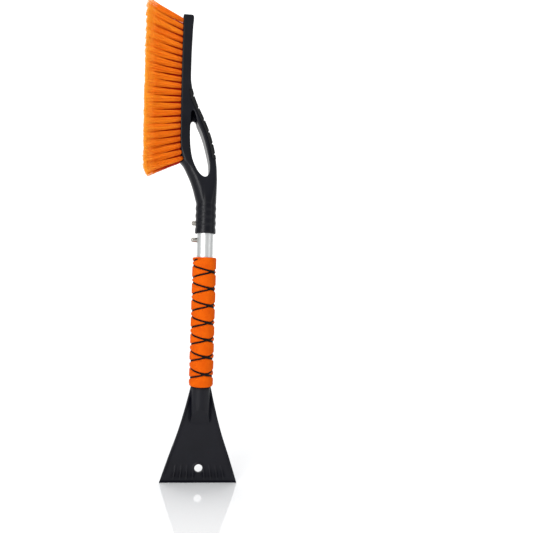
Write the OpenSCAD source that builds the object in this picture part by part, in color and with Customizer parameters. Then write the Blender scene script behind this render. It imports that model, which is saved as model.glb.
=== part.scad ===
// Snow brush with an ice scraper, in millimetres.
// The origin is the middle of the scraping edge, and +Z runs up the handle tube.
// The bristles point along -X and the scraper's broad faces look along -Y and +Y.

/* [Scraper] */
// Width of the scraping edge
scraper_w = 110.5; // [100:0.5:120]
// Height of the scraper from its edge to the top of its socket
scraper_h = 137; // [130:1:145]
// Thickness of the scraper's plate
plate_t = 3; // [2.5:0.1:4]
// Thickness left at the scraping edge
edge_t = 1.3; // [1:0.1:2]
// Radius of the hanging hole
hang_r = 5.8; // [4:0.1:6.5]
// Height of the hanging hole's centre
hang_z = 21; // [19:1:26]
// Pitch of the ice-breaking ribs
rib_pitch = 9.3; // [8.8:0.1:10]

/* [Handle] */
// Outer diameter of the aluminium tube
tube_d = 24; // [23.5:0.1:24.5]
// Wall of the aluminium tube
tube_wall = 1.2; // [1:0.1:1.4]
// Height of the tube's lower end, inside the scraper's socket
tube_z0 = 112; // [110:1:116]
// Height of the tube's upper end, inside the brush head
tube_z1 = 400; // [398:1:404]
// Outer diameter of the foam grip
foam_d = 33; // [31:0.2:36]
// Height of the foam grip's upper end
foam_z1 = 320; // [310:1:322]
// Diameter of the cord wound round the foam
cord_d = 3.2; // [2:0.1:3.2]
// Rise of each cord in one turn
cord_pitch = 24; // [20:0.5:30]

/* [Snap buttons] */
// Diameter of both buttons
button_d = 6.8; // [5:0.1:7]
// How far a button's tip stands from the tube's axis
button_reach = 20.2; // [18:0.1:21]
// Height of the button that locks the brush head
upper_button_z = 368.8; // [366:0.2:371]
// Height of the second button
lower_button_z = 344.9; // [342:0.2:346]

/* [Brush head] */
// Height of the collar's lower end
collar_z0 = 354.3; // [352:0.1:356]
// Mean outer diameter of the collar
collar_d = 29.4; // [28:0.1:29.4]
// Height of the top of the spine
spine_z1 = 664; // [662:1:668]
// Width of the spine across the bristle rows
spine_w = 31; // [28:0.5:36]
// Width of the hand loop, across the same way
loop_w = 28; // [25:0.5:28]
// How far the bristle face bows out
spine_bow = 1.1; // [0:0.1:3]
// How far the bristle face leans out from its lower end to its upper end
spine_lean = 1.7; // [0:0.1:2]

/* [Bristles] */
// Tufts in the outer row; every second row has one less, set between its neighbours' tufts
tufts = 22; // [10:1:22]
// Rows of tufts
rows = 4; // [4:1:4]
// Height of the lowest tuft's root
tuft_z0 = 458.5; // [458:0.5:462]
// Height of the highest tuft's root
tuft_z1 = 657; // [652:0.5:658]
// Tilt of the end tufts, up at the top and down at the bottom
tuft_fan = 22.5; // [10:0.5:24]
// Distance between rows at the root
row_pitch = 7; // [6:0.1:7]
// How far the tips stand from the tube's axis
tip_x = 94; // [80:0.5:95]

/* [Hidden] */
$fn = 64;
eps = 0.01;                 // overlap that keeps joined shapes one solid
charcoal = [0.14, 0.145, 0.16];
soft_black = [0.1, 0.1, 0.11];
foam_orange = [1, 0.4, 0.03];
bristle_orange = [1, 0.53, 0.05];
steel = [0.72, 0.71, 0.68];

tube_r = tube_d / 2;
tube_in_r = tube_r - tube_wall;
fit_gap = 0.05;             // radial gap of a fixed fit
slide_gap = 0.08;           // radial gap of the head on the tube

// scraper
socket_r = 14;
rim_w = 2.8;                // width of the thickened slanted edges
rim_t = 5.2;                // thickness of those edges
edge_bevel_h = 9;           // height over which the plate thins to the scraping edge
ramp_z = 108;               // where the socket starts to slope into the plate
ramp_foot_z = 84;           // where that slope meets the plate
hang_ring_w = 2.2;
hang_ring_t = 4.4;
ribs_a_side = 4;
rib_first = 8.3;            // first rib's distance from the middle
rib_w = 2.2;
rib_h = 2.1;
rib_z0 = 5;
rib_z1 = 27.5;
rib_fan = 0.33;             // outward lean of a rib, in degrees for each millimetre from the middle
screw_z = 124;
screw_r = 1.75;
screw_head_r = 3.3;
screw_seat_y = 13;
screw_head_t = 2.1;
screw_tip_y = 4.5;

// foam and cords
foam_r = foam_d / 2;
foam_z0 = scraper_h;
foam_round = 3;
cord_r = cord_d / 2;
cord_run_r = foam_r - 2.2;              // radius that the cords' centres run at
cord_rings_a_turn = 12;
cord_ring_step = cord_pitch / cord_rings_a_turn;
cord_sides = 8;
cord_cross_z = 155.6;                   // height of the first crossing on the front
cord_cross_a = -72;                     // its direction from +X
cord_drift = 4.5;                       // how far each crossing is turned from the one below
cord_z0 = cord_cross_z - 7 * cord_ring_step;
cord_end_gap = 2;                       // foam left bare past the cords' upper ends
cord_under = -0.15;                     // rise of each cord at a crossing, in cord diameters
cord_over = 0.75;
cord_hump_width = 2.6;                  // rise along the grip over which that happens

// snap buttons and their springs
button_r = button_d / 2;
button_travel = 8;
flange_r = 4.5;
flange_t = 1.2;
flange_x = 9.7;             // distance of the flange's outer face from the axis
button_dome = 2.4;          // length of the rounded tip
strip_t = 0.6;
strip_w = 8;
strip_x0 = -flange_x + flange_t + fit_gap;
strip_x1 = 9.9;
strip_tail = 8;             // length of leaf past the button's centre
strip_leg = 18;             // length of leaf from the button to the bend

// brush head
collar_r = collar_d / 2;
rib_wave = 0.4;             // height of the collar's soft ribs
wave_z0 = collar_z0 + 4.6;  // crest of the lowest rib
wave_pitch = 10.6;
waves = 4;
collar_z1 = 431;
head_bore_z1 = 426;
spine_x = -39.6;            // bristle face at the lower end of the spine
spine_z0 = 455;
spine_deep = 14.2;          // thickness of the wide part of the spine
grip_t = 5.5;               // thickness of the soft strip on the loop's back
notch_w = 3.2;
notch_d = 3;
notch_at = [0.125, 0.29, 0.46, 0.63, 0.79, 0.94];   // along the strip
pocket_web = 6;
curve_steps = 5;

// tufts
tuft_hole_r = 3;
tuft_hole_deep = 9;
tuft_root_r = 2.9;
tuft_root_deep = 7.4;
tuft_spread = 0.043;        // growth in radius for each millimetre of length
row_tilt = 4.6;             // sideways tilt for each row from the middle
staple_w = 4;
staple_t = 0.5;
staple_h = 1.4;

// ---------- curves ----------

function spline_at(a, b, c, d, t) =
    0.5 * (2 * b + (c - a) * t + (2 * a - 5 * b + 4 * c - d) * t * t
           + (3 * b - a - 3 * c + d) * t * t * t);

// a smooth curve through every point of an open list
function through(pts, steps = curve_steps) = let (last = len(pts) - 1) [
    for (i = [0 : last - 1]) for (s = [0 : steps - 1])
        spline_at(pts[max(i - 1, 0)], pts[i], pts[i + 1], pts[min(i + 2, last)], s / steps),
    pts[last]
];

// a smooth closed curve through every point of a list
function around(pts, steps = curve_steps) = let (n = len(pts)) [
    for (i = [0 : n - 1]) for (s = [0 : steps - 1])
        spline_at(pts[(i + n - 1) % n], pts[i], pts[(i + 1) % n], pts[(i + 2) % n], s / steps)
];

function unit(v) = v / norm(v);

// a line moved sideways, to the right of the way it runs
function beside(line, gap) = [
    for (i = [0 : len(line) - 1])
        let (way = unit(line[min(i + 1, len(line) - 1)] - line[max(i - 1, 0)]))
        line[i] + gap * [way[1], -way[0]]
];

function reversed(list) = [for (i = [len(list) - 1 : -1 : 0]) list[i]];

// a flat outline in X and Z, given its thickness along Y
module slab(outline, thick) {
    rotate([90, 0, 0]) linear_extrude(thick, center = true) polygon(outline);
}

// a flat outline in Y and Z, given its width along X
module bar(outline, wide) {
    rotate([90, 0, 90]) linear_extrude(wide, center = true) polygon(outline);
}

// ---------- scraper ----------

// half width of the scraper at five heights, up its right side
scraper_side = [
    [scraper_w / 2, 0],
    [scraper_w * 0.396, 35],
    [scraper_w * 0.28, 72],
    [scraper_w * 0.194, 106],
    [socket_r, scraper_h]
];

function mirrored(line) = [for (p = line) [-p[0], p[1]]];

module slanted_rim() {
    side = through(scraper_side, 4);
    slab(concat(side, reversed([for (p = side) p - [rim_w, 0]])), rim_t);
}

module scraper_plate() {
    side = through(scraper_side, 4);
    front = -plate_t / 2;
    intersection() {
        union() {
            slab(concat(side, reversed(mirrored(side))), plate_t);
            slanted_rim();
            mirror([1, 0, 0]) slanted_rim();
        }
        bar([
            [plate_t / 2 - edge_t, 0], [front, edge_bevel_h], [-rim_t, edge_bevel_h + 14],
            [-rim_t, scraper_h], [rim_t, scraper_h], [rim_t, edge_bevel_h + 10],
            [plate_t / 2, edge_bevel_h], [plate_t / 2, 0]
        ], 2 * scraper_w);
    }
}

// the round socket, with both faces sloping down into the plate
module socket() {
    intersection() {
        translate([0, 0, ramp_foot_z]) cylinder(r = socket_r, h = scraper_h - ramp_foot_z);
        bar([
            [-socket_r - 1, scraper_h + 1], [-socket_r - 1, ramp_z], [-plate_t / 2, ramp_foot_z],
            [plate_t / 2, ramp_foot_z], [socket_r + 1, ramp_z], [socket_r + 1, scraper_h + 1]
        ], 2 * socket_r + 2);
    }
}

module ice_rib(x) {
    front = -plate_t / 2;
    translate([x, 0, rib_z0]) rotate([0, -rib_fan * x, 0]) translate([0, 0, -rib_z0]) bar([
        [0, rib_z0], [front + 0.6, rib_z0], [front - rib_h, rib_z0 + 5],
        [front, rib_z1], [0, rib_z1]
    ], rib_w);
}

module scraper_blade() {
    color(charcoal) difference() {
        union() {
            scraper_plate();
            socket();
            for (side = [-1, 1], i = [0 : ribs_a_side - 1])
                ice_rib(side * (rib_first + i * rib_pitch));
            translate([0, 0, hang_z]) rotate([90, 0, 0])
                cylinder(r = hang_r + hang_ring_w, h = hang_ring_t, center = true);
        }
        translate([0, 0, hang_z]) rotate([90, 0, 0])
            cylinder(r = hang_r, h = 4 * plate_t, center = true);
        translate([0, 0, tube_z0]) cylinder(r = tube_r + fit_gap, h = scraper_h);
        translate([0, tube_in_r, screw_z]) rotate([-90, 0, 0])
            cylinder(r = screw_r + fit_gap, h = socket_r);
        translate([0, screw_seat_y, screw_z]) rotate([-90, 0, 0])
            cylinder(r = screw_head_r + 0.3, h = socket_r);
    }
}

// self-tapping screw that holds the tube in the scraper's socket, from the back
module socket_screw() {
    color(steel) translate([0, 0, screw_z]) rotate([-90, 0, 0]) difference() {
        union() {
            translate([0, 0, screw_tip_y])
                cylinder(r = screw_r, h = screw_seat_y - screw_tip_y + eps);
            translate([0, 0, screw_seat_y]) rotate_extrude() polygon([
                [0, 0], [screw_head_r, 0], [screw_head_r, screw_head_t * 0.5],
                [screw_head_r * 0.7, screw_head_t], [0, screw_head_t]
            ]);
        }
        for (turn = [0, 90]) rotate([0, 0, turn])
            translate([0, 0, screw_seat_y + screw_head_t])
                cube([screw_head_r * 1.3, 0.8, screw_head_t], center = true);
    }
}

// ---------- handle ----------

module button_hole(z, r) {
    translate([-tube_r * 2, 0, z]) rotate([0, 90, 0]) cylinder(r = r, h = tube_r * 2);
}

module handle_tube() {
    color("silver") difference() {
        translate([0, 0, tube_z0]) cylinder(r = tube_r, h = tube_z1 - tube_z0);
        translate([0, 0, tube_z0 - 1]) cylinder(r = tube_in_r, h = tube_z1 - tube_z0 + 2);
        button_hole(upper_button_z, button_r + slide_gap);
        button_hole(lower_button_z, button_r + slide_gap);
        translate([0, 0, screw_z]) rotate([-90, 0, 0])
            cylinder(r = screw_r + fit_gap, h = 2 * tube_r);
    }
}

module foam_grip() {
    inner = tube_r + fit_gap;
    corner = [for (a = [0 : 15 : 90]) foam_round * [cos(a), sin(a)]];
    color(foam_orange) rotate_extrude() polygon(concat(
        [[inner, foam_z0 + 0.1]],
        [for (p = reversed(corner)) [foam_r - foam_round + p[0], foam_z0 + 0.1 + foam_round - p[1]]],
        [for (p = corner) [foam_r - foam_round + p[0], foam_z1 - foam_round + p[1]]],
        [[inner, foam_z1]]
    ));
}

// 1 where the two cords cross, which happens twice a turn, and 0 away from there
function at_crossing(z) =
    let (
        gap = cord_pitch / 2,
        off = ((z - cord_cross_z) % gap + gap) % gap,
        near = min(off, gap - off)
    )
    near < cord_hump_width ? pow(cos(90 * near / cord_hump_width), 2) : 0;

function cord_point(hand, lift, z) =
    let (
        a = cord_cross_a + (hand * 360 + cord_drift) * (z - cord_cross_z) / cord_pitch,
        r = cord_run_r + lift * cord_d * at_crossing(z)
    )
    [r * cos(a), r * sin(a), z];

// one wound cord, swept as a tube of flat sides
module wound_cord(hand, lift) {
    last = floor((foam_z1 - cord_end_gap - cord_z0) / cord_ring_step);
    path = [for (i = [0 : last]) cord_point(hand, lift, cord_z0 + i * cord_ring_step)];
    rings = [for (i = [0 : last]) let (
        way = unit(path[min(i + 1, last)] - path[max(i - 1, 0)]),
        out = unit([path[i][0], path[i][1], 0]),
        up = cross(way, out)
    ) [for (s = [0 : cord_sides - 1])
        path[i] + cord_r * (cos(360 * s / cord_sides) * out + sin(360 * s / cord_sides) * up)]];
    points = [for (ring = rings) for (p = ring) p];
    walls = [for (i = [0 : last - 1]) for (s = [0 : cord_sides - 1]) let (
        n = (s + 1) % cord_sides, low = i * cord_sides, high = low + cord_sides
    ) each [[low + s, high + s, high + n], [low + s, high + n, low + n]]];
    start = [for (s = [0 : cord_sides - 1]) s];
    end = [for (s = [cord_sides - 1 : -1 : 0]) last * cord_sides + s];
    color(soft_black) polyhedron(points, concat([start], walls, [end]), convexity = 10);
}

module grip_cord_right() { wound_cord(1, cord_under); }
module grip_cord_left() { wound_cord(-1, cord_over); }

// ---------- snap buttons ----------

module snap_button(z) {
    shank = button_reach - button_dome;
    dome = [for (a = [0 : 15 : 90]) [button_r * cos(a), shank + button_dome * sin(a)]];
    color(steel) translate([0, 0, z]) rotate([0, -90, 0]) rotate_extrude() polygon(concat(
        [[0, flange_x - flange_t], [flange_r, flange_x - flange_t], [flange_r, flange_x],
         [button_r, flange_x]],
        dome
    ));
}

// a leaf bent into a U, its open end at the button and its bend towards +Z
module snap_spring(z, up) {
    mid_x = (strip_x0 + strip_x1) / 2;
    bend_r = (strip_x1 - strip_x0) / 2;
    color(steel) translate([0, 0, z]) mirror([0, 0, up ? 0 : 1]) {
        for (x = [strip_x0, strip_x1 - strip_t]) translate([x, -strip_w / 2, -strip_tail])
            cube([strip_t, strip_w, strip_tail + strip_leg + eps]);
        translate([mid_x, 0, strip_leg]) rotate([90, 0, 0]) intersection() {
            difference() {
                cylinder(r = bend_r, h = strip_w, center = true);
                cylinder(r = bend_r - strip_t, h = strip_w + 1, center = true);
            }
            translate([-bend_r, 0, -strip_w]) cube([2 * bend_r, bend_r, 2 * strip_w]);
        }
    }
}

module upper_snap_button() { snap_button(upper_button_z); }
module upper_snap_spring() { snap_spring(upper_button_z, true); }
module lower_snap_button() { snap_button(lower_button_z); }
module lower_snap_spring() { snap_spring(lower_button_z, false); }

// ---------- brush head ----------

// the bristle face, bowed between the two ends of the spine
function face_x(z) =
    let (t = (2 * z - spine_z0 - spine_z1) / (spine_z1 - spine_z0))
    spine_x - spine_lean * (1 + t) / 2 - spine_bow * (1 - t * t);

face_line = [for (i = [0 : 8]) let (z = spine_z0 + i * (spine_z1 - spine_z0) / 8) [face_x(z), z]];

// the spine's back, and the loop's back below it, from the top down
spine_back = [[-26.2, 660], [-27.4, 614], [-28.4, 582]];
loop_back = [
    [-25.2, 558.5], [-20.8, 545], [-12.6, 528.5], [-4.1, 511.5], [2.6, 495],
    [7.8, 478], [11.6, 461]
];
neck_back = [[13.7, 445], [14.35, 425], [collar_r, 400]];
back_line = through(concat(spine_back, loop_back, neck_back));

// the neck's front, from the collar up to the bristle face
neck_front = through([
    [-collar_r, 399], [-16.3, 404], [-19.3, 415], [-23.5, 427], [-28.6, 438], [-34.4, 449],
    [spine_x + 0.2, spine_z0 - 0.2]
]);

// the window that the fingers go through
window_line = around([
    [-22.9, 515.8], [-26.3, 510], [-26.6, 495], [-25.7, 478], [-22.7, 461], [-18, 449],
    [-11.8, 439.4], [-4.6, 434.4], [0.8, 437], [2.5, 445], [1.8, 455.5], [-0.6, 466.5],
    [-3.6, 478], [-7, 489.3], [-11.5, 500.7], [-17.4, 512]
]);

// the pocket above the window, closed by a web in its middle
pocket_line = [[-26.4, 508], [-25.9, 525.5], [-24, 528.7], [-21.6, 526.8], [-15.5, 508]];

// the soft strip's inner and outer lines, along the loop's back
grip_line = through(loop_back);
grip_inner = beside(grip_line, grip_t);

function grip_place(part) = let (i = round(part * (len(grip_line) - 1))) grip_line[i];
function grip_way(part) =
    let (i = round(part * (len(grip_line) - 1)))
    unit(grip_line[min(i + 1, len(grip_line) - 1)] - grip_line[max(i - 1, 0)]);

module grip_body(proud, wide) {
    slab(concat(beside(grip_line, -proud), reversed(grip_inner)), wide);
}

function along_rows(row) = (row - (rows + 1) / 2);
function shifted(row) = 1 - row % 2;        // 1 for a row whose tufts stand between the others'
function tufts_in(row) = tufts - shifted(row);

// puts its children at one tuft's root, with +Z pointing out along the tuft
module at_tuft(row, i) {
    part = (i + shifted(row) / 2) / (tufts - 1);
    z = tuft_z0 + part * (tuft_z1 - tuft_z0);
    tilt = tuft_fan * (2 * part - 1);
    translate([face_x(z), along_rows(row) * row_pitch, z])
        rotate([0, tilt, 0]) rotate([0, 0, -row_tilt * along_rows(row)]) rotate([0, -90, 0])
            children();
}

module head_solid() {
    inside = spine_x + 3;       // keeps the narrow body's front within the wide spine
    slab(concat([[inside, spine_z0 + 3], [inside, spine_z1 - 2], [-27, spine_z1 - 2]],
                back_line, neck_front, [[spine_x + 1, spine_z0 + 1]]), loop_w);
    slab(concat(face_line, [[spine_x + spine_deep - 1.5, spine_z1],
                            [spine_x + spine_deep, spine_z1 - 1.5]],
                reversed([for (p = face_line) if (p[1] < spine_z1 - 2) p + [spine_deep, 0]])),
         spine_w);
    rotate_extrude() polygon(concat(
        [[0, collar_z0], [collar_r + rib_wave - 0.6, collar_z0],
         [collar_r + rib_wave, collar_z0 + 0.6]],
        [for (i = [0 : waves * 8 - 2])
            [collar_r + rib_wave * cos(45 * i), wave_z0 + i * wave_pitch / 8]],
        [[collar_r, collar_z1], [0, collar_z1]]
    ));
}

module brush_head() {
    color(charcoal) difference() {
        head_solid();
        slab(window_line, 2 * spine_w);
        for (side = [-1, 1])
            translate([0, side * (pocket_web + spine_w) / 2, 0]) slab(pocket_line, spine_w);
        grip_body(3, loop_w + 2);
        translate([0, 0, collar_z0 - 1])
            cylinder(r = tube_r + slide_gap, h = head_bore_z1 - collar_z0 + 1);
        button_hole(upper_button_z, button_r + 0.2);
        for (row = [1 : rows], i = [0 : tufts_in(row) - 1]) at_tuft(row, i)
            translate([0, 0, -tuft_hole_deep]) cylinder(r = tuft_hole_r, h = tuft_hole_deep + 3);
    }
}

module back_grip() {
    color(soft_black) difference() {
        grip_body(0.3, loop_w);
        for (part = notch_at) let (p = grip_place(part), way = grip_way(part))
            translate([p[0], 0, p[1]]) rotate([0, -atan2(way[1], way[0]), 0])
                slab([[-notch_w, 0], [0, -notch_d], [0, notch_d], [-notch_w, notch_d]],
                     2 * loop_w);
    }
}

// ---------- bristles ----------

// what stays of the tufts after their tips are trimmed flat
module trimmed_space() {
    slab([[0, 420], [-tip_x + 4, 430], [-tip_x + 0.6, 446], [-tip_x, 530], [-tip_x + 1, 700],
          [0, 700]], 4 * spine_w);
}

module tuft(row, i) {
    long = tip_x + 12;
    at_tuft(row, i) {
        translate([0, 0, -tuft_root_deep]) cylinder(r = tuft_root_r, h = tuft_root_deep + eps);
        cylinder(r1 = tuft_root_r, r2 = tuft_root_r + tuft_spread * long, h = long);
    }
}

module bristle_row(row) {
    color(bristle_orange) intersection() {
        for (i = [0 : tufts_in(row) - 1]) tuft(row, i);
        trimmed_space();
    }
}

// the bent wire at the bottom of each hole that the tuft is folded round
module staple_row(row) {
    color(steel) for (i = [0 : tufts_in(row) - 1]) at_tuft(row, i)
        translate([-staple_t / 2, -staple_w / 2, -tuft_hole_deep + 0.1])
            cube([staple_t, staple_w, staple_h]);
}

scraper_blade();
socket_screw();
handle_tube();
foam_grip();
grip_cord_right();
grip_cord_left();
upper_snap_button();
upper_snap_spring();
lower_snap_button();
lower_snap_spring();
brush_head();
back_grip();
bristle_row(1);  // bristle_row_1
bristle_row(2);  // bristle_row_2
bristle_row(3);  // bristle_row_3
bristle_row(4);  // bristle_row_4
staple_row(1);  // tuft_staples_1
staple_row(2);  // tuft_staples_2
staple_row(3);  // tuft_staples_3
staple_row(4);  // tuft_staples_4
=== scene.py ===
# %% [markdown]
# # A snow brush with an ice scraper
# The tool is a bare aluminium tube with a black moulded scraper at its foot, an orange foam grip bound
# with two cords, and a black brush head that slides on at the top and is held by a snap button.
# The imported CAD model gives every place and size. This lesson adds the looks, piece by piece.

# %% Load the fixed frame
import math

import bpy
import numpy as np
from mathutils import Matrix, Vector


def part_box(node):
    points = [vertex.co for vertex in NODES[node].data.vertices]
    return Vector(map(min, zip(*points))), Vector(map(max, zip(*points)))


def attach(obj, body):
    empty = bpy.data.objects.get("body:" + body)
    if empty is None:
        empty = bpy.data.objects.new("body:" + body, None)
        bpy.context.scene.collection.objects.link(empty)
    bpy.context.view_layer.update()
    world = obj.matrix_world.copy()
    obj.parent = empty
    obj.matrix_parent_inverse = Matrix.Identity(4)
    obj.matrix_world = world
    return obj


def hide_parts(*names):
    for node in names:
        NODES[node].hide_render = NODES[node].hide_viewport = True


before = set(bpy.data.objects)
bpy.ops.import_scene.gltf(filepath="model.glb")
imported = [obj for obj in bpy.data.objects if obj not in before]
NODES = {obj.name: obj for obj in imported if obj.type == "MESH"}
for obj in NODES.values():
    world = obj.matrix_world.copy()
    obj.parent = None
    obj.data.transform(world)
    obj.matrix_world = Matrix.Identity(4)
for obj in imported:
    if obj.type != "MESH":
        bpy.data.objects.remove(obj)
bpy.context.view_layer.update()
MM = 0.001

# %% [markdown]
# ## Camera and light
# The view is almost square on, a little from the bristle side, with a hair of roll. A studio would put the
# tool on a polished white table in a white tent, with one big soft box left of the camera. So the scene has
# a white floor and backdrop, a pale room for the plastic to reflect, one strong softbox and two weak ones.

# %% Camera
AZIMUTH, ELEVATION, ROLL = (math.radians(x) for x in (-4.6, -1.54, 1.70))
DISTANCE = 0.75
TARGET = Vector((0, 0, 0.3073))

back = Vector((math.sin(AZIMUTH) * math.cos(ELEVATION), -math.cos(AZIMUTH) * math.cos(ELEVATION),
               math.sin(ELEVATION)))
level = Vector((math.cos(AZIMUTH), math.sin(AZIMUTH), 0))
upright = back.cross(level)
across = math.cos(ROLL) * level + math.sin(ROLL) * upright
up = -math.sin(ROLL) * level + math.cos(ROLL) * upright

camera = bpy.data.objects.new("camera", bpy.data.cameras.new("camera"))
bpy.context.scene.collection.objects.link(camera)
camera.data.lens, camera.data.sensor_width = 35.31, 36
camera.data.shift_x = 0.1168
camera.data.clip_start = 0.01
place = Matrix((across, up, back)).transposed().to_4x4()
place.translation = TARGET + DISTANCE * back
camera.matrix_world = place
bpy.context.scene.camera = camera
bpy.context.scene.view_settings.view_transform = "Standard"
print("camera at", [round(x, 3) for x in camera.location])

# %% Lights
def softbox(name, azimuth, height, distance, size, radiance, aim=TARGET):
    """A rectangle of light that looks at the tool; its power follows from how bright its face looks."""
    light = bpy.data.lights.new(name, "AREA")
    light.shape, light.size, light.size_y = "RECTANGLE", *size
    light.energy = radiance * math.pi * size[0] * size[1]
    lamp = bpy.data.objects.new(name, light)
    bpy.context.scene.collection.objects.link(lamp)
    a = math.radians(azimuth)
    lamp.location = (distance * math.sin(a), -distance * math.cos(a), height)
    lamp.rotation_euler = (Vector(lamp.location) - Vector(aim)).to_track_quat("Z", "Y").to_euler()
    return lamp

softbox("key_softbox", -32, 0.55, 1.5, (0.62, 1.5), 5.6)
softbox("fill_softbox", 62, 0.6, 1.7, (0.5, 1.3), 1.1)
softbox("top_softbox", -8, 1.9, 0.35, (1.2, 0.9), 1.6)

world = bpy.data.worlds.new("white_room")
bpy.context.scene.world = world
world.use_nodes = True
world.node_tree.nodes["Background"].inputs["Color"].default_value = (0.97, 0.985, 1, 1)
world.node_tree.nodes["Background"].inputs["Strength"].default_value = 0.5

# %% [markdown]
# ## Small helpers
# The operators act on what is selected, so each helper first clears the selection. The tool's pieces
# end with their objects at the origin and their places in their meshes, as the CAD nodes have them.

# %% Helpers for selecting and changing
def only(piece):
    """Makes piece the one selected and active object."""
    bpy.ops.object.select_all(action="DESELECT")
    piece.select_set(True)
    bpy.context.view_layer.objects.active = piece
    return piece

def in_edit_mode(piece, *steps):
    """Runs each step in edit mode, with everything selected at the start."""
    only(piece)
    bpy.ops.object.mode_set(mode="EDIT")
    bpy.ops.mesh.select_all(action="SELECT")
    for step in steps:
        step()
    bpy.ops.object.mode_set(mode="OBJECT")

def modify(piece, kind, **settings):
    """Adds one modifier and applies it at once."""
    modifier = piece.modifiers.new(kind.lower(), kind)
    for key, value in settings.items():
        setattr(modifier, key, value)
    only(piece)
    bpy.ops.object.modifier_apply(modifier=modifier.name)

def carve(piece, tool, how="DIFFERENCE", own_overlaps=False):
    """Cuts or keeps what a second mesh covers, and removes that mesh."""
    modify(piece, "BOOLEAN", object=tool, operation=how, solver="EXACT", use_self=own_overlaps)
    bpy.data.objects.remove(tool)

def settle(piece):
    """Moves the object's place into its mesh."""
    only(piece)
    bpy.ops.object.transform_apply(location=True, rotation=True, scale=True)
    return piece

def mesh_piece(name, points, faces):
    """A mesh object from lists of points and faces."""
    mesh = bpy.data.meshes.new(name)
    mesh.from_pydata([tuple(map(float, p)) for p in points], [], [tuple(map(int, f)) for f in faces])
    mesh.validate()
    piece = bpy.data.objects.new(name, mesh)
    bpy.context.scene.collection.objects.link(piece)
    return piece

def copy_of(node, name):
    """A copy of a CAD node with its loose triangles joined up."""
    piece = bpy.data.objects.new(name, NODES[node].data.copy())
    piece.data.materials.clear()
    bpy.context.scene.collection.objects.link(piece)
    in_edit_mode(piece, lambda: bpy.ops.mesh.remove_doubles(threshold=2e-6))
    only(piece)
    bpy.ops.mesh.customdata_custom_splitnormals_clear()
    return piece

def smooth_shaded(piece):
    only(piece)
    bpy.ops.object.shade_smooth()

def corners(piece):
    """All points of a mesh as an array."""
    co = np.empty(len(piece.data.vertices) * 3, np.float32)
    piece.data.vertices.foreach_get("co", co)
    return co.reshape(-1, 3)

def tell(piece):
    """Prints a piece's size and how many triangles it has."""
    piece.data.calc_loop_triangles()
    co = corners(piece)
    size = (co.max(0) - co.min(0)) / MM
    print(f"{piece.name}: {size[0]:.1f} x {size[1]:.1f} x {size[2]:.1f} mm,",
          len(piece.data.loop_triangles), "triangles")

def ready(piece, body, slot, finish, *nodes):
    """Gives a piece its finish and its body, and hides the CAD nodes that it stands for."""
    piece.data.materials.clear()
    piece.data.materials.append(finish)
    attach(piece, body)
    if nodes:
        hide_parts(*nodes)
    tell(piece)

# %% [markdown]
# ## Finishes
# A finish starts from the Principled shader. Object coordinates are in metres here, so a grain of 0.3 mm has
# a scale of about 3000. Two or three noises at different scales drive the colour, roughness and bump
# together, because a moulded surface is never evenly glossy.

# %% Node helpers
def node(finish, kind, inputs=None, **settings):
    """Adds a node; inputs is {socket: value or another node's output}."""
    made = finish.node_tree.nodes.new(kind)
    for key, value in settings.items():
        setattr(made, key, value)
    for key, value in (inputs or {}).items():
        if isinstance(value, bpy.types.NodeSocket):
            finish.node_tree.links.new(value, made.inputs[key])
        else:
            made.inputs[key].default_value = value
    return made

def new_finish(name, **numbers):
    """A Principled finish; numbers are its plain settings, with _ for a space."""
    finish = bpy.data.materials.new(name)
    finish.use_nodes = True
    shader = finish.node_tree.nodes["Principled BSDF"]
    for key, value in numbers.items():
        shader.inputs[key.replace("_", " ")].default_value = value
    return finish, shader

def drive(finish, shader, socket, source):
    finish.node_tree.links.new(source, shader.inputs[socket])

def place_coords(finish, stretch=(1, 1, 1), turn=(0, 0, 0)):
    """Object coordinates, stretched so that a noise can run along a piece."""
    coords = node(finish, "ShaderNodeTexCoord").outputs["Object"]
    return node(finish, "ShaderNodeMapping",
                {"Vector": coords, "Scale": stretch, "Rotation": turn}).outputs["Vector"]

def noise(finish, where, scale, detail=3.0, rough=0.5, **settings):
    return node(finish, "ShaderNodeTexNoise",
                {"Vector": where, "Scale": scale, "Detail": detail, "Roughness": rough},
                **settings).outputs["Fac"]

def span(finish, value, low, high, from_low=0.3, from_high=0.7):
    """Maps a noise's useful middle to a range."""
    return node(finish, "ShaderNodeMapRange",
                {"Value": value, "From Min": from_low, "From Max": from_high,
                 "To Min": low, "To Max": high}).outputs["Result"]

def blend_colours(finish, amount, first, second):
    mix = node(finish, "ShaderNodeMix", {"Factor": amount}, data_type="RGBA")
    for socket, value in ((6, first), (7, second)):
        if isinstance(value, bpy.types.NodeSocket):
            finish.node_tree.links.new(value, mix.inputs[socket])
        else:
            mix.inputs[socket].default_value = (*value, 1)
    return mix.outputs[2]

def maths(finish, how, a, b=0.0):
    made = node(finish, "ShaderNodeMath", {0: a, 1: b}, operation=how)
    return made.outputs[0]

def bump(finish, height, depth, strength=1.0, under=None):
    """A bump of the given depth in metres; under is a bump that it adds to."""
    inputs = {"Height": height, "Distance": depth, "Strength": strength}
    if under is not None:
        inputs["Normal"] = under
    return node(finish, "ShaderNodeBump", inputs).outputs["Normal"]
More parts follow.
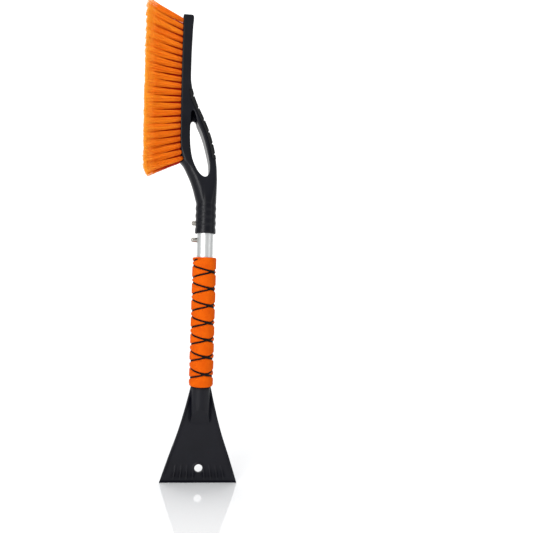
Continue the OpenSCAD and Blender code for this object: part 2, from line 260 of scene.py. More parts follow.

# %% [markdown]
# ### Black moulded plastic
# The scraper and the head are black polypropylene. A spark-eroded mould leaves a fine even grain that
# spreads the highlights, and the flow of the melt leaves faint cloudy patches. The scraper also has thin
# scratches that run up from its edge, where it has met ice. A low specular level keeps the white room from
# greying it; painted shade lowers it further in corners and between the ribs, which see little of the room.

# %% Black plastic
def black_plastic(name, colour, roughness, grain, worn=False):
    finish, shader = new_finish(name, IOR=1.46, Specular_IOR_Level=0.22)
    where = place_coords(finish)
    cloud = noise(finish, where, 28, 4, 0.6)
    fine = noise(finish, where, grain, 2, 0.6)
    light = tuple(min(1, c * 1.6 + 0.0004) for c in colour)
    drive(finish, shader, "Base Color", blend_colours(finish, span(finish, cloud, 0, 1), colour, light))
    rough = maths(finish, "ADD", span(finish, cloud, roughness - 0.03, roughness + 0.05),
                  span(finish, fine, -0.03, 0.03))
    # Painted shade: an occlusion node lowers the specular level in corners and between the ribs.
    painted_corner_shade = node(finish, "ShaderNodeAmbientOcclusion", {"Distance": 0.005}).outputs["AO"]
    drive(finish, shader, "Specular IOR Level", span(finish, painted_corner_shade, 0.0, 0.26, 0.76, 0.98))
    shape = bump(finish, fine, 0.00006, 0.55)
    shape = bump(finish, noise(finish, where, grain / 7, 2), 0.00012, 0.25, shape)
    if worn:
        streaks = noise(finish, place_coords(finish, (1, 1, 0.06), (0, 0.12, 0)), 1500, 2, 0.7)
        near_edge = span(finish, node(finish, "ShaderNodeSeparateXYZ", {
            "Vector": node(finish, "ShaderNodeTexCoord").outputs["Object"]}).outputs["Z"],
            1, 0, 0.0, 0.045)
        scratch = maths(finish, "MULTIPLY", span(finish, streaks, 0, 1, 0.60, 0.68), near_edge)
        rough = maths(finish, "ADD", rough, maths(finish, "MULTIPLY", scratch, 0.16))
        shape = bump(finish, scratch, -0.00008, 0.5, shape)
    drive(finish, shader, "Roughness", rough)
    drive(finish, shader, "Normal", shape)
    return finish

SCRAPER_PLASTIC = black_plastic("scraper_plastic", (0.0034, 0.0035, 0.0062), 0.37, 2600, worn=True)
HEAD_PLASTIC = black_plastic("head_plastic", (0.0028, 0.0031, 0.0055), 0.31, 3200)

# %% [markdown]
# ### Soft grip rubber
# The strip on the loop's back is a softer black than the head: matt, with a fine stipple and no clear
# highlight.

# %% Rubber
def soft_rubber():
    finish, shader = new_finish("grip_rubber", IOR=1.5, Specular_IOR_Level=0.22)
    where = place_coords(finish)
    stipple = node(finish, "ShaderNodeTexVoronoi", {"Vector": where, "Scale": 1500.0}).outputs["Distance"]
    cloud = noise(finish, where, 60, 3)
    drive(finish, shader, "Base Color",
          blend_colours(finish, span(finish, cloud, 0, 1),
                        (0.0030, 0.0031, 0.0036), (0.0070, 0.0072, 0.0080)))
    drive(finish, shader, "Roughness", span(finish, cloud, 0.55, 0.66))
    drive(finish, shader, "Normal", bump(finish, stipple, 0.00012, 0.6))
    return finish

GRIP_RUBBER = soft_rubber()

# %% [markdown]
# ### Drawn aluminium
# The tube is drawn through a die, which leaves very fine lines along it. A noise squeezed round the tube and
# stretched along it gives those lines to both the roughness and the bump.

# %% Aluminium and steel
def drawn_metal(name, colour, second, roughness, stretch, scale, depth):
    finish, shader = new_finish(name, Metallic=1.0)
    lines = noise(finish, place_coords(finish, stretch), scale, 3, 0.6)
    patches = noise(finish, place_coords(finish), 55, 3, 0.55)
    drive(finish, shader, "Base Color", blend_colours(finish, span(finish, patches, 0, 1), colour, second))
    drive(finish, shader, "Roughness",
          maths(finish, "ADD", span(finish, lines, roughness - 0.04, roughness + 0.06),
                span(finish, patches, -0.02, 0.03)))
    drive(finish, shader, "Normal", bump(finish, lines, depth, 0.35))
    return finish

ALUMINIUM = drawn_metal("tube_aluminium", (0.76, 0.77, 0.765), (0.71, 0.725, 0.715), 0.40,
                        (1, 1, 0.02), 2200, 0.00003)
STEEL = drawn_metal("steel", (0.46, 0.44, 0.40), (0.36, 0.34, 0.31), 0.22, (1, 1, 1), 900, 0.00002)
SPRING_STEEL = drawn_metal("spring_steel", (0.45, 0.46, 0.48), (0.36, 0.37, 0.40), 0.32,
                           (1, 1, 0.05), 1500, 0.00002)

# %% [markdown]
# ### Foam
# The sleeve is closed-cell foam with a skin. Close up it shows tiny pits, and broader soft patches where
# the cells are larger. The pits are darkened with painted shade.

# %% Foam
def foam_finish():
    finish, shader = new_finish("grip_foam", IOR=1.45, Specular_IOR_Level=0.06)
    where = place_coords(finish)
    pits = node(finish, "ShaderNodeTexVoronoi", {"Vector": where, "Scale": 1350.0},
                feature="SMOOTH_F1").outputs["Distance"]
    patches = noise(finish, where, 95, 5, 0.6)
    mottled = blend_colours(finish, span(finish, patches, 0, 1),
                            (0.68, 0.088, 0.0010), (0.78, 0.122, 0.0022))
    # Painted shade: the pits are darker than the skin.
    mottled_with_pit_shade = blend_colours(finish, span(finish, pits, 0.35, 0, 0.05, 0.28), mottled, (0.52, 0.045, 0.0005))
    drive(finish, shader, "Base Color", mottled_with_pit_shade)
    drive(finish, shader, "Roughness", span(finish, patches, 0.66, 0.80))
    drive(finish, shader, "Normal",
          bump(finish, patches, 0.0003, 0.35, bump(finish, pits, 0.00022, 0.55)))
    return finish

GRIP_FOAM = foam_finish()

# %% [markdown]
# ### Braided cord
# The cords are thin black braid. Their own UV map runs along and round them, so two crossed waves make the
# strands' diamonds.

# %% Cord
def cord_finish():
    finish, shader = new_finish("grip_cord", IOR=1.5, Specular_IOR_Level=0.12)
    uv = node(finish, "ShaderNodeUVMap", uv_map="UVMap").outputs["UV"]
    strands = []
    for hand in (1, -1):
        turned = node(finish, "ShaderNodeMapping",
                      {"Vector": uv, "Rotation": (0, 0, hand * math.radians(45))}).outputs["Vector"]
        strands.append(node(finish, "ShaderNodeTexWave", {"Vector": turned, "Scale": 1.3},
                            wave_profile="SIN").outputs["Fac"])
    braid = maths(finish, "MAXIMUM", *strands)
    fibre = noise(finish, place_coords(finish), 2600, 3, 0.7)
    drive(finish, shader, "Base Color",
          blend_colours(finish, braid, (0.0012, 0.0010, 0.0013), (0.0060, 0.0048, 0.0058)))
    drive(finish, shader, "Roughness", span(finish, fibre, 0.5, 0.75))
    drive(finish, shader, "Normal", bump(finish, fibre, 0.00005, 0.5, bump(finish, braid, 0.0002, 0.7)))
    return finish

GRIP_CORD = cord_finish()

# %% [markdown]
# ### Bristles
# Each filament carries numbers of its own: its tone, which is random, and how far along it a point is.
# A third number says how deep it stands in the brush; deep filaments get painted shade, a deep red towards
# the root, and all get a little painted shade at the root. The tips are paler because they are split and
# catch more light. A faint glow is painted light that stands in for the light that passes through nylon.

# %% Bristle
def bristle_finish():
    finish, shader = new_finish("bristle", IOR=1.48, Specular_IOR_Level=0.25, Roughness=0.45,
                                Emission_Color=(1.0, 0.10, 0.001, 1), Emission_Strength=0.06)
    along = node(finish, "ShaderNodeAttribute", attribute_name="along").outputs["Fac"]
    tone = node(finish, "ShaderNodeAttribute", attribute_name="tone").outputs["Fac"]
    # The inside number carries painted shade for filaments deep in the brush.
    inside = node(finish, "ShaderNodeAttribute", attribute_name="inside").outputs["Fac"]
    streak = noise(finish, place_coords(finish, (0.15, 1, 1)), 900, 2)
    body = blend_colours(finish, tone, (0.96, 0.235, 0.004), (1.0, 0.36, 0.012))
    body = blend_colours(finish, span(finish, streak, 0, 0.5), body, (0.92, 0.19, 0.003))
    tips = blend_colours(finish, span(finish, along, 0, 0.65, 0.72, 1.0), body, (0.98, 0.46, 0.035))
    # Painted shade: every filament darkens near its root, and deep ones turn deep red towards the root.
    root_painted_shade = blend_colours(finish, span(finish, along, 0.45, 0, 0.05, 0.30), tips, (0.60, 0.040, 0.001))
    shade = maths(finish, "MULTIPLY", inside, span(finish, along, 1, 0, 0.46, 0.86))
    drive(finish, shader, "Base Color", blend_colours(finish, shade, root_painted_shade, (0.58, 0.006, 0.002)))
    drive(finish, shader, "Roughness", span(finish, tone, 0.38, 0.55, 0, 1))
    drive(finish, shader, "Normal", bump(finish, streak, 0.00003, 0.4))
    return finish

BRISTLE = bristle_finish()
print("finishes:", [m.name for m in bpy.data.materials if m.use_nodes and len(m.node_tree.nodes) > 2])

# %% [markdown]
# ## Scraper
# The scraper is one thick moulding, so every corner has a small radius. Bevelling a mesh that comes from
# solids joined and cut is fragile. A fine voxel remesh of a copy of the CAD node, followed by a little
# smoothing, rounds every corner evenly, ribs and hanging ring included. The slanted rims, which are full
# rounds, are smoothed some more through a vertex group.

# %% Scraper
def moulded(piece, voxel, passes):
    """Rounds all corners of a closed mesh, as moulding does."""
    modify(piece, "REMESH", mode="VOXEL", voxel_size=voxel)
    modify(piece, "SMOOTH", factor=0.5, iterations=passes)
    smooth_shaded(piece)

RIM_IN = 3.4                # the slanted rims lie within this distance of the sides
RIM_Z = (14, 100)           # and between these heights
scraper = copy_of("scraper_blade", "scraper")
moulded(scraper, 0.5 * MM, 2)
co = corners(scraper) / MM
layer = np.round(co[:, 2]).astype(int)
half_width = np.zeros(layer.max() + 1, co.dtype)
np.maximum.at(half_width, layer, np.abs(co[:, 0]))
near = (half_width[layer] - np.abs(co[:, 0]) < RIM_IN) & (co[:, 2] > RIM_Z[0]) & (co[:, 2] < RIM_Z[1])
rim = scraper.vertex_groups.new(name="rim")
rim.add([int(i) for i in np.flatnonzero(near)], 1, "REPLACE")
modify(scraper, "SMOOTH", factor=0.5, iterations=6, vertex_group="rim")
scraper.vertex_groups.clear()
ready(scraper, "handle", "scraper_plastic", SCRAPER_PLASTIC, "scraper_blade")

# %% [markdown]
# ## Tube
# The tube is cut from drawn stock: a plain pipe with a hole through its wall for each snap button and one
# for the screw. A cylinder's end faces are inset by the wall, and the two inner faces are bridged.

# %% Tube
BUTTON_R = 3.4 * MM
SLIDE_GAP = 0.08 * MM
SCREW_HOLE_R = 1.8 * MM
TUBE_WALL = 1.2 * MM
tube_low, tube_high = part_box("handle_tube")
TUBE_R = tube_high.x

def rod(name, radius, start, end, sides=48):
    """A plain cylinder between two points, for cutting."""
    start, end = Vector(start), Vector(end)
    bpy.ops.object.select_all(action="DESELECT")
    bpy.ops.mesh.primitive_cylinder_add(
        vertices=sides, radius=radius, depth=(end - start).length, location=(start + end) / 2,
        rotation=(end - start).to_track_quat("Z", "Y").to_euler())
    piece = bpy.context.object
    piece.name = name
    return settle(piece)

def end_faces(piece):
    """Selects the faces that look straight up or down."""
    bpy.ops.object.mode_set(mode="OBJECT")
    for face in piece.data.polygons:
        face.select = abs(face.normal.z) > 0.99
    bpy.ops.object.mode_set(mode="EDIT")

def middle_height(node_name):
    low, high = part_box(node_name)
    return (low.z + high.z) / 2

tube = rod("tube", TUBE_R, (0, 0, tube_low.z), (0, 0, tube_high.z), 160)
in_edit_mode(
    tube,
    lambda: bpy.ops.mesh.select_mode(type="FACE"),
    lambda: end_faces(tube),
    lambda: bpy.ops.mesh.inset(thickness=TUBE_WALL),
    lambda: bpy.ops.mesh.bridge_edge_loops(),
)
button_heights = [middle_height("upper_snap_button"), middle_height("lower_snap_button")]
for height in button_heights:
    carve(tube, rod("cutter", BUTTON_R + SLIDE_GAP, (-2 * TUBE_R, 0, height), (0, 0, height)))
screw_z = middle_height("socket_screw")
carve(tube, rod("cutter", SCREW_HOLE_R, (0, 0, screw_z), (0, 2 * TUBE_R, screw_z), 24))
only(tube)
bpy.ops.object.shade_smooth_by_angle(angle=math.radians(35))
ready(tube, "handle", "tube_aluminium", ALUMINIUM, "handle_tube")

# %% [markdown]
# ## Snap buttons
# Each button is a turned steel pin with a domed tip and a flange that stays inside the tube. A turned part
# is a profile spun round its axis. One is modelled, and the second is a copy with its own mesh.

# %% Buttons
def turned(name, profile, steps=64):
    """Spins a line of (radius, height) points round Z into a closed solid."""
    piece = mesh_piece(name, [(r, 0, h) for r, h in profile], [])
    piece.data.edges.add(len(profile) - 1)
    for i, edge in enumerate(piece.data.edges):
        edge.vertices = (i, i + 1)
    in_edit_mode(
        piece,
        lambda: bpy.ops.mesh.spin(steps=steps, angle=2 * math.pi, center=(0, 0, 0), axis=(0, 0, 1)),
        lambda: bpy.ops.mesh.select_all(action="SELECT"),
        lambda: bpy.ops.mesh.remove_doubles(threshold=1e-7),
        lambda: bpy.ops.mesh.normals_make_consistent(inside=False),
    )
    return piece

FLANGE_R, FLANGE_IN, FLANGE_OUT = 4.5 * MM, 8.5 * MM, 9.7 * MM
DOME = 2.4 * MM
button_tip = -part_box("upper_snap_button")[0].x
button_profile = [
    (0, FLANGE_IN), (FLANGE_R - 0.3 * MM, FLANGE_IN), (FLANGE_R, FLANGE_IN + 0.3 * MM),
    (FLANGE_R, FLANGE_OUT), (BUTTON_R, FLANGE_OUT),
] + [(BUTTON_R * math.cos(a), button_tip - DOME + DOME * math.sin(a))
     for a in (math.radians(x) for x in range(0, 91, 6))]
button_profile[-1] = (0, button_tip)

upper_button = turned("upper_button", button_profile)
upper_button.rotation_euler = (0, -math.pi / 2, 0)
upper_button.location.z = button_heights[0]
settle(upper_button)
only(upper_button)
bpy.ops.object.shade_smooth_by_angle(angle=math.radians(40))
lower_button = bpy.data.objects.new("lower_button", upper_button.data.copy())
bpy.context.scene.collection.objects.link(lower_button)
lower_button.location.z = button_heights[1] - button_heights[0]
settle(lower_button)
ready(upper_button, "upper_button", "steel", STEEL, "upper_snap_button")
ready(lower_button, "lower_button", "steel", STEEL, "lower_snap_button")

# %% [markdown]
# ## Brush head
# The head is a deep moulding. Its neck is round where it leaves the collar, has a full rounded nose in
# front, and becomes square where it meets the spine that holds the tufts. The CAD node has the right outline
# and all its holes but flat sides, so it is cut by a skin: rings stacked up the head, each with a rounded
# nose and back. Where the outline lies is measured on the CAD meshes of the head and its grip strip.

# %% The head's skin
def edge_ends(piece):
    """Both ends of every edge of a mesh."""
    ends = np.empty(len(piece.data.edges) * 2, np.int32)
    piece.data.edges.foreach_get("vertices", ends)
    return corners(piece)[ends.reshape(-1, 2)]

def section_span(edges, z):
    """Where the outline starts and ends in X at one height."""
    a, b = edges[:, 0], edges[:, 1]
    cross = (a[:, 2] - z) * (b[:, 2] - z) < 0
    a, b = a[cross], b[cross]
    x = a[:, 0] + (z - a[:, 2]) / (b[:, 2] - a[:, 2]) * (b[:, 0] - a[:, 0])
    return x.min(), x.max()

# up the head: height, then the nose's half width, length and squareness, then the back's
SKIN = np.array([
    # z     front: w      l     s   back: w      l     s
    [398.8, 14.75, 14.75, 2.0, 14.75, 14.75, 2.0],
    [406.0, 14.50, 14.50, 2.0, 14.50, 12.80, 2.2],
    [420.0, 14.10, 14.10, 2.0, 14.10, 9.20, 2.8],
    [434.0, 13.90, 13.60, 2.0, 13.90, 7.00, 3.4],
    [446.0, 13.90, 12.80, 2.1, 13.80, 6.50, 3.6],
    [456.0, 14.40, 10.50, 2.3, 13.80, 6.00, 3.6],
    [465.0, 15.00, 7.00, 2.8, 13.80, 6.00, 3.6],
    [474.0, 15.50, 3.50, 4.0, 13.80, 5.50, 3.8],
    [486.0, 15.50, 2.50, 5.0, 13.80, 5.50, 3.8],
    [535.0, 15.50, 2.50, 5.0, 13.80, 5.50, 3.8],
    [560.0, 15.50, 2.50, 5.0, 15.50, 2.50, 5.0],
    [664.0, 15.50, 2.50, 5.0, 15.50, 2.50, 5.0],
])

COLLAR_CLEAR = 18.0         # the skin keeps this far from the axis round the collar

def skin_ring(span_x, sizes, grow=0.0, points=36):
    """One ring: half of one rounded end and half of the other, joined by straight sides."""
    (x0, x1), (w0, l0, s0, w1, l1, s1) = span_x, sizes
    shrink = min(1, 0.98 * (x1 - x0) / (l0 + l1))
    ring = []
    for i in range(2 * points):
        t = math.pi * (i + 0.5) / points - math.pi / 2
        x_part, y_part = abs(math.cos(t)), math.sin(t)
        behind = i < points
        w, length, s, end = (w1, l1, s1, x1) if behind else (w0, l0, s0, x0)
        w, length = w + grow, length * shrink
        x = length * x_part ** (2 / s)
        y = w * math.copysign(abs(y_part) ** (2 / s), y_part)
        ring.append((end - length + x + grow, y) if behind else (end + length - x - grow, y))
    return ring

def skin(name, outline, grow=0.0):
    """The stack of rings over the whole head, closed at both ends."""
    heights = list(np.arange(398.9, 663.9, 1.5)) + [663.95]
    spans = np.array([section_span(outline, z * MM) for z in heights]) / MM
    for step in (1, 2, 3):              # the strip's notches don't dent the skin
        between = (spans[:-2 * step, 1] + spans[2 * step:, 1]) / 2
        spans[step:-step, 1] = np.maximum(spans[step:-step, 1], between)
    rings = [(z, skin_ring((-COLLAR_CLEAR, COLLAR_CLEAR), [COLLAR_CLEAR, COLLAR_CLEAR, 2] * 2))
             for z in (350.0, 398.7)]
    for z, (x0, x1) in zip(heights, spans):
        sizes = [np.interp(z, SKIN[:, 0], SKIN[:, k]) for k in range(1, 7)]
        rings.append((z, skin_ring((x0 - 0.03, x1 + 0.03), sizes, grow)))
    rings.append((666.0, rings[-1][1]))
    points = [(x * MM, y * MM, z * MM) for z, ring in rings for x, y in ring]
    n = len(rings[0][1])
    faces = [(r * n + i, r * n + (i + 1) % n, (r + 1) * n + (i + 1) % n, (r + 1) * n + i)
             for r in range(len(rings) - 1) for i in range(n)]
    faces += [tuple(range(n - 1, -1, -1)), tuple((len(rings) - 1) * n + i for i in range(n))]
    made = mesh_piece(name, points, faces)
    in_edit_mode(made, lambda: bpy.ops.mesh.normals_make_consistent(inside=False))
    return made

head = copy_of("brush_head", "head")
back_grip = copy_of("back_grip", "grip_strip")
outline = np.concatenate([edge_ends(head), edge_ends(back_grip)])
carve(head, skin("skin", outline), "INTERSECT")
tell(head)

# %% [markdown]
# The cut copy is then remeshed and smoothed like the scraper. The loop and neck, which the hand holds, get
# more smoothing than the spine and the ribbed collar, through a vertex group that weights it.

# %% The head's rounding
modify(head, "REMESH", mode="VOXEL", voxel_size=0.85 * MM)
co = corners(head) / MM
held = np.clip((co[:, 0] + 30) / 3, 0, 1) * np.clip((co[:, 2] - 400) / 6, 0, 1)
held = np.maximum(held, np.clip((co[:, 2] - 402) / 6, 0, 1) * np.clip((456 - co[:, 2]) / 6, 0, 1))
hand = head.vertex_groups.new(name="hand")
for tenth in range(11):
    found = np.flatnonzero(np.round(held * 10) == tenth)
    hand.add([int(i) for i in found], max(0.15, tenth / 10), "REPLACE")
modify(head, "SMOOTH", factor=0.5, iterations=6, vertex_group="hand")
head.vertex_groups.clear()
smooth_shaded(head)
ready(head, "head", "head_plastic", HEAD_PLASTIC, "brush_head")

# %% [markdown]
# ## Back grip
# The soft strip is pressed into a recess along the loop's back. It has the same rounded back as the head,
# only a third of a millimetre prouder, and six notches cut like saw teeth for the grip of a gloved hand.

# %% Back grip
carve(back_grip, skin("skin", outline, 0.3), "INTERSECT")
modify(back_grip, "REMESH", mode="VOXEL", voxel_size=0.45 * MM)
modify(back_grip, "SMOOTH", factor=0.5, iterations=3)
smooth_shaded(back_grip)
ready(back_grip, "head", "grip_rubber", GRIP_RUBBER, "back_grip")

# %% [markdown]
# ## Foam grip and its cords
# Two cords are wound up the sleeve in opposite directions, and the foam swells out between them. Each
# crossing lies a few degrees round from the one below, because the two pitches differ a little. The same
# winding rule places the cords and the furrows that they press into the foam, so they always fit.

# %% The winding rule
FIRST_CROSSING = 155.6      # height in mm
CROSSING_AT = -72.0         # its direction in degrees from +X
DRIFT = 4.5                 # degrees from one crossing to the next above it
PITCH = 24.0
CORD_D = 3.2
CORD_Z0, CORD_Z1 = 141.6, 317.6
CROSSING_REACH = 2.4        # the over and under passes fade out this far above and below a crossing
RUN_R = 14.3                # radius of the cords' centres
FOAM_BORE, FOAM_CREST = 12.06, 17.2
FURROW_DEPTH, FURROW_REACH, FURROW_LIMIT = 2.9, 1.8, 3.1
LOW_CORNER, HIGH_CORNER = 3.2, 1.6      # radii of the sleeve's end corners

def cord_angle(hand, z):
    return CROSSING_AT + (hand * 360 + DRIFT) * (z - FIRST_CROSSING) / PITCH

def off_cord(hand, angle, z):
    """How far a point of the sleeve is from a cord, in mm along Z."""
    turn = (cord_angle(hand, z) - angle + 180) % 360 - 180
    return np.abs(turn) / 360 * PITCH

def at_crossing(z):
    near = np.abs((z - FIRST_CROSSING + PITCH / 4) % (PITCH / 2) - PITCH / 4)
    return np.where(near < CROSSING_REACH, np.cos(np.radians(90 * near / CROSSING_REACH)) ** 2, 0)

# %% Foam sleeve
def foam_sleeve():
    low, high = (p.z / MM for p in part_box("foam_grip"))
    side = np.linspace(low + LOW_CORNER, high - HIGH_CORNER, 300)
    lower = [(FOAM_CREST - LOW_CORNER + LOW_CORNER * math.sin(a), low + LOW_CORNER - LOW_CORNER * math.cos(a))
             for a in np.radians(np.arange(0, 90, 10))]
    upper = [(FOAM_CREST - HIGH_CORNER + HIGH_CORNER * math.cos(a),
              high - HIGH_CORNER + HIGH_CORNER * math.sin(a))
             for a in np.radians(np.arange(10, 91, 10))]
    profile = np.array([(FOAM_BORE, low)] + lower + [(FOAM_CREST, z) for z in side] + upper
                       + [(FOAM_BORE, high)] + [(FOAM_BORE, z) for z in np.linspace(high, low, 12)[1:-1]])
    around = np.linspace(0, 360, 144, endpoint=False)
    r, z = np.repeat(profile[:, :1], len(around), 1), np.repeat(profile[:, 1:], len(around), 1)
    angle = np.repeat(around[None, :], len(profile), 0)
    pressed = 0
    for hand in (1, -1):
        gap = off_cord(hand, angle, z)
        pressed = pressed + (FURROW_DEPTH * np.exp(-(gap / FURROW_REACH) ** 2.6)) ** 3
    pressed = np.minimum(pressed ** (1 / 3), FURROW_LIMIT)
    rng = np.random.default_rng(7)
    puff = sum(0.10 / k * np.sin(np.radians(angle * k + rng.uniform(0, 360)) + z * rng.uniform(0.1, 0.35))
               for k in (1, 2, 3, 5))
    ends = np.clip((z - CORD_Z0 + 3) / 3, 0, 1) * np.clip((CORD_Z1 + 2.5 - z) / 2.5, 0, 1)
    outside = np.clip((r - FOAM_BORE - 1) / 2.5, 0, 1)
    r = r - outside * (pressed * ends - puff * 0.6)
    points = np.stack([r * np.cos(np.radians(angle)), r * np.sin(np.radians(angle)), z], -1) * MM
    rows, n = r.shape
    faces = [(i * n + j, i * n + (j + 1) % n, ((i + 1) % rows) * n + (j + 1) % n, ((i + 1) % rows) * n + j)
             for i in range(rows) for j in range(n)]
    made = mesh_piece("foam", points.reshape(-1, 3), faces)
    in_edit_mode(made, lambda: bpy.ops.mesh.normals_make_consistent(inside=False))
    smooth_shaded(made)
    return made

foam = foam_sleeve()
ready(foam, "handle", "grip_foam", GRIP_FOAM, "foam_grip")

# %% Wound cords
def wound_cord(name, hand, lift, sides=14, step=0.5):
    """A tube along the winding, with its ends tucked into the foam and a UV map for the braid."""
    z = np.arange(CORD_Z0, CORD_Z1 + step / 2, step)
    a = np.radians(cord_angle(hand, z))
    tuck = 0.9 * (np.exp(-(z - z[0]) / 0.8) + np.exp(-(z[-1] - z) / 0.8))
    r = RUN_R + lift * CORD_D * at_crossing(z) - tuck
    path = np.stack([r * np.cos(a), r * np.sin(a), z], -1)
    way = np.gradient(path, axis=0)
    way /= np.linalg.norm(way, axis=1)[:, None]
    out = np.stack([np.cos(a), np.sin(a), np.zeros_like(a)], -1)
    side = np.cross(way, out)
    out = np.cross(side, way)
    turn = np.linspace(0, 2 * np.pi, sides, endpoint=False)
    flat, wide = 0.92 * CORD_D / 2, 1.04 * CORD_D / 2       # the braid is pressed a little flat
    ends = np.sqrt(np.clip(np.minimum(np.arange(len(z)), np.arange(len(z))[::-1]) / 2 + 0.12, 0, 1))
    rings = path[:, None] + ends[:, None, None] * (
        flat * np.cos(turn)[None, :, None] * out[:, None]
        + wide * np.sin(turn)[None, :, None] * side[:, None])
    n, last = sides, len(z) - 1
    faces = [(i * n + j, i * n + (j + 1) % n, (i + 1) * n + (j + 1) % n, (i + 1) * n + j)
             for i in range(last) for j in range(n)]
    faces += [tuple(range(n - 1, -1, -1)), tuple(last * n + j for j in range(n))]
    made = mesh_piece(name, rings.reshape(-1, 3) * MM, faces)
    run = np.concatenate([[0], np.cumsum(np.linalg.norm(np.diff(path, axis=0), axis=1))])
    uv = made.data.uv_layers.new(name="UVMap")
    for face in made.data.polygons:
        for loop in face.loop_indices:
            i, j = divmod(made.data.loops[loop].vertex_index, n)
            wrapped = j + n if j == 0 and face.index < last * n and face.index % n == n - 1 else j
            uv.data[loop].uv = (run[i] / 1.7, wrapped / n * 5)
    in_edit_mode(made, lambda: bpy.ops.mesh.normals_make_consistent(inside=False))
    smooth_shaded(made)
    print(name, "is", round(float(run[-1])), "mm long")
    return made

for name, node_name, hand, lift in (("cord_right", "grip_cord_right", 1, -0.15),
                                    ("cord_left", "grip_cord_left", -1, 0.75)):
    ready(wound_cord(name, hand, lift), "handle", "grip_cord", GRIP_CORD, node_name)

# %% [markdown]
# ## Bristles
# Each of the 86 holes holds a bundle of filaments, folded in half round a staple. One filament is modelled:
# a thin three-sided rod, tapered to its tip. It is then copied along lines that start inside the hole, spread
# out, bend a little and end near one trimmed face. There are thousands, so the copies are made with arrays,
# and each keeps a tone of its own. The tufts fan out a little less than the solid ones in the CAD.

# %% One filament
FILAMENT_R = 0.19
RINGS = (0.07, 0.15, 0.40, 0.70)        # mouth of the hole, end of the flare, and two more bends

def one_filament():
    bpy.ops.object.select_all(action="DESELECT")
    bpy.ops.mesh.primitive_cylinder_add(vertices=3, radius=FILAMENT_R * MM, depth=1, location=(0, 0, 0.5))
    made = settle(bpy.context.object)
    for height in RINGS:
        in_edit_mode(made, lambda: bpy.ops.mesh.bisect(plane_co=(0, 0, height), plane_no=(0, 0, 1)))
    for v in made.data.vertices:
        taper = 1 - 0.45 * max(0, v.co.z - 0.6) / 0.4
        v.co.x, v.co.y = v.co.x * taper, v.co.y * taper
    in_edit_mode(made, lambda: bpy.ops.mesh.quads_convert_to_tris())
    return made

filament = one_filament()
shape = corners(filament).astype(float)
triangles = np.array([tuple(p.vertices) for p in filament.data.polygons])
bpy.data.objects.remove(filament)
print("one filament has", len(triangles), "triangles")

# %% Tufts
TUFTS, ROWS = 22, 4
TUFT_Z = (458.5, 657.0)
FAN, ROW_TILT, ROW_PITCH = 20.8, 4.6, 7.0
SPINE_X, SPINE_Z, LEAN, BOW = -39.6, (455.0, 664.0), 1.7, 1.1
PER_TUFT = 150
ROOT_DEPTH = 4.0            # a filament starts this far inside its hole
REACH = 54                  # and ends about this far outside it, before trimming
GOLDEN_TURN = 2.39996       # radians from one filament to the next, which fills a disc evenly
OUTER_Y, SHADE_OVER = 10.6, 3   # filaments nearer the middle than this, by up to this much, are shaded
FLARE_AT = (0, *RINGS, 1)   # a tuft's radius in mm at these parts of its length
FLARE = (2.6, 2.86, 3.06, 3.6, 4.6, 6.6)
TRIM_Z, TRIM_X = (430, 450, 473, 515, 558, 700), (-87.4, -90.4, -91.1, -92.1, -92.9, -92.2)

def shifted(row):
    """1 for a row whose tufts stand between its neighbours' tufts, and which has one less."""
    return 1 - row % 2

def tuft_frame(row, i):
    """A tuft's root, its direction and the two directions across it."""
    part = (i + shifted(row) / 2) / (TUFTS - 1)
    z = TUFT_Z[0] + part * (TUFT_Z[1] - TUFT_Z[0])
    t = (2 * z - sum(SPINE_Z)) / (SPINE_Z[1] - SPINE_Z[0])
    off = row - (ROWS + 1) / 2
    root = np.array([SPINE_X - LEAN * (1 + t) / 2 - BOW * (1 - t * t), off * ROW_PITCH, z])
    tilt, side = math.radians(FAN * (2 * part - 1)), math.radians(ROW_TILT * off)
    way = np.array([-math.cos(tilt) * math.cos(side), math.sin(side), math.sin(tilt) * math.cos(side)])
    u = np.cross(way, [0, 1, 0])
    u /= np.linalg.norm(u)
    return root, way, u, np.cross(way, u)

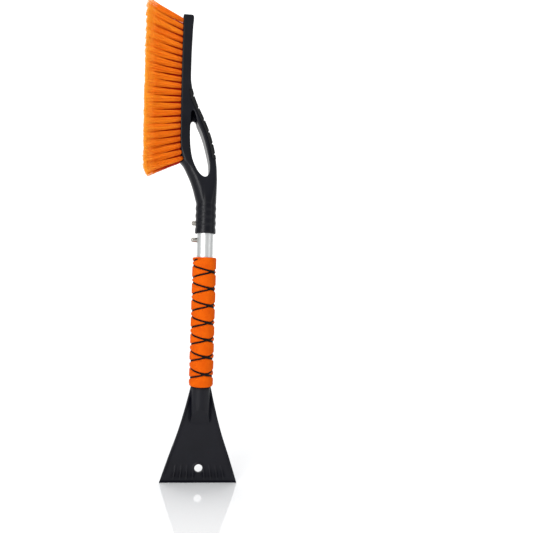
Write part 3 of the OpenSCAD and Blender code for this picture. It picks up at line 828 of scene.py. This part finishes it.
def bristle_row(row):
    rng = np.random.default_rng(40 + row)
    points, along, tone, inside = [], [], [], []
    for i in range(TUFTS - shifted(row)):
        root, way, u, v = tuft_frame(row, i)
        lean, longer = rng.normal(0, 0.6, 2), rng.normal(0, 0.35)
        tuft_tone = rng.normal(0, 0.10)
        n = PER_TUFT
        spot = np.sqrt((np.arange(n) + 0.5) / n)
        turn = np.arange(n) * GOLDEN_TURN + rng.uniform(0, 6.3)
        disc = spot[:, None] * np.stack([np.cos(turn), np.sin(turn)], 1)
        clump = np.floor(turn / 0.7 % 9).astype(int) + 9 * (spot > 0.6)
        lock_lean, lock_tone = rng.normal(0, 0.45, (18, 2))[clump], rng.normal(0, 0.30, 18)[clump]
        spread = disc * FLARE[-1] + lean + lock_lean + rng.normal(0, 0.45, (n, 2))
        begin = root - way * ROOT_DEPTH
        tip = root + way * REACH + spread @ np.stack([u, v])
        trim = np.interp(tip[:, 2], TRIM_Z, TRIM_X) - longer + rng.normal(0, 0.7, n) + 0.4 * spot ** 2.2
        length = (trim - begin[0]) / (way[0] * (REACH + ROOT_DEPTH))
        bend = rng.normal(0, 0.35, (n, 2))
        s = shape[:, 2]
        off = disc[:, None] * np.interp(s, FLARE_AT, FLARE)[None, :, None] \
            + (spread - disc * FLARE[-1])[:, None] * (s ** 1.3)[None, :, None]
        path = begin + (way * (REACH + ROOT_DEPTH)) * (s[None, :, None] * length[:, None, None]) \
            + off @ np.stack([u, v])
        bow = np.sin(np.pi * s)[None, :, None] * bend[:, None] @ np.stack([u, v])
        roll = rng.uniform(0, 2 * np.pi, n)
        cx, cy = shape[:, 0] / MM, shape[:, 1] / MM
        px = cx[None] * np.cos(roll)[:, None] - cy[None] * np.sin(roll)[:, None]
        py = cx[None] * np.sin(roll)[:, None] + cy[None] * np.cos(roll)[:, None]
        points.append((path + bow + px[..., None] * u + py[..., None] * v).reshape(-1, 3))
        along.append(np.tile(s, n))
        # Painted shade: how deep a filament stands in the brush sets how dark red its root is painted.
        from_middle = np.abs(root[1] + (disc @ np.stack([u, v]))[:, 1] * FLARE[0])
        inside.append(np.repeat(np.clip((OUTER_Y - from_middle) / SHADE_OVER, 0, 1), len(s)))
        tone.append(np.repeat(np.clip(0.5 + tuft_tone + lock_tone + rng.normal(0, 0.12, n), 0, 1), len(s)))
    points, along, tone, inside = (np.concatenate(x) for x in (points, along, tone, inside))
    points *= MM
    count = (TUFTS - shifted(row)) * PER_TUFT
    faces = (triangles[None] + len(shape) * np.arange(count)[:, None, None]).reshape(-1, 3)
    mesh = bpy.data.meshes.new(f"bristles_{row}")
    mesh.vertices.add(len(points))
    mesh.vertices.foreach_set("co", points.astype(np.float32).ravel())
    mesh.loops.add(faces.size)
    mesh.loops.foreach_set("vertex_index", faces.astype(np.int32).ravel())
    mesh.polygons.add(len(faces))
    mesh.polygons.foreach_set("loop_start", np.arange(0, faces.size, 3, dtype=np.int32))
    for name, values in (("along", along), ("tone", tone), ("inside", inside)):
        mesh.attributes.new(name, "FLOAT", "POINT").data.foreach_set("value", values.astype(np.float32))
    mesh.update()
    mesh.validate()
    made = bpy.data.objects.new(f"bristles_{row}", mesh)
    bpy.context.scene.collection.objects.link(made)
    smooth_shaded(made)
    return made

for row in range(1, ROWS + 1):
    ready(bristle_row(row), "head", "bristle", BRISTLE, f"bristle_row_{row}")

# %% [markdown]
# ## Hidden metal parts
# The screw, the leaf springs and the staples have their true shape in the CAD already, so those nodes
# stay and only get their steel.

# %% Carried-over nodes
for name, finish in [("socket_screw", STEEL), ("upper_snap_spring", SPRING_STEEL),
                     ("lower_snap_spring", SPRING_STEEL)] + [
                         (f"tuft_staples_{row}", STEEL) for row in range(1, ROWS + 1)]:
    slots = NODES[name].data.materials
    slots.clear()
    slots.append(finish)
print("kept from the CAD:", [n for n, o in NODES.items() if not o.hide_render])

# %% [markdown]
# ## Floor and backdrop
# The tool stands on a polished white sheet, in front of a glowing white backdrop. The sheet mirrors the
# scraper close to its edge, and the image fades towards the viewer as the polish gives way to plain white.

# %% Floor
def polished_floor():
    finish = bpy.data.materials.new("polished_white")
    finish.use_nodes = True
    nodes = finish.node_tree.nodes
    shader = nodes["Principled BSDF"]
    shader.inputs["Base Color"].default_value = (0.86, 0.87, 0.88, 1)
    shader.inputs["IOR"].default_value = 1.75
    shader.inputs["Emission Color"].default_value = (1, 1, 1, 1)
    shader.inputs["Emission Strength"].default_value = 0.10
    grain = noise(finish, place_coords(finish), 300, 3)
    drive(finish, shader, "Roughness", span(finish, grain, 0.04, 0.06))
    plain = node(finish, "ShaderNodeEmission", {"Color": (1, 1, 1, 1), "Strength": 1.02})
    away = node(finish, "ShaderNodeSeparateXYZ", {
        "Vector": node(finish, "ShaderNodeTexCoord").outputs["Object"]}).outputs["Y"]
    fade = node(finish, "ShaderNodeMapRange", {"Value": away, "From Min": -0.36, "From Max": -0.002},
                interpolation_type="SMOOTHSTEP").outputs["Result"]
    mix = node(finish, "ShaderNodeMixShader", {0: fade, 1: plain.outputs[0], 2: shader.outputs[0]})
    finish.node_tree.links.new(mix.outputs[0], nodes["Material Output"].inputs["Surface"])
    return finish

FLOOR_Z = -0.0003
bpy.ops.object.select_all(action="DESELECT")
bpy.ops.mesh.primitive_plane_add(size=8, location=(0, 0, FLOOR_Z))
floor = settle(bpy.context.object)
floor.name = "floor"
floor.data.materials.append(polished_floor())

def backdrop_finish():
    finish = bpy.data.materials.new("backdrop_white")
    finish.use_nodes = True
    glow = node(finish, "ShaderNodeEmission", {"Color": (1, 1, 1, 1), "Strength": 1.3})
    finish.node_tree.links.new(glow.outputs[0], finish.node_tree.nodes["Material Output"].inputs["Surface"])
    return finish

bpy.ops.object.select_all(action="DESELECT")
bpy.ops.mesh.primitive_plane_add(size=8, location=(0, 2.2, 4), rotation=(math.pi / 2, 0, 0))
backdrop = settle(bpy.context.object)
backdrop.name = "backdrop"
backdrop.data.materials.append(backdrop_finish())
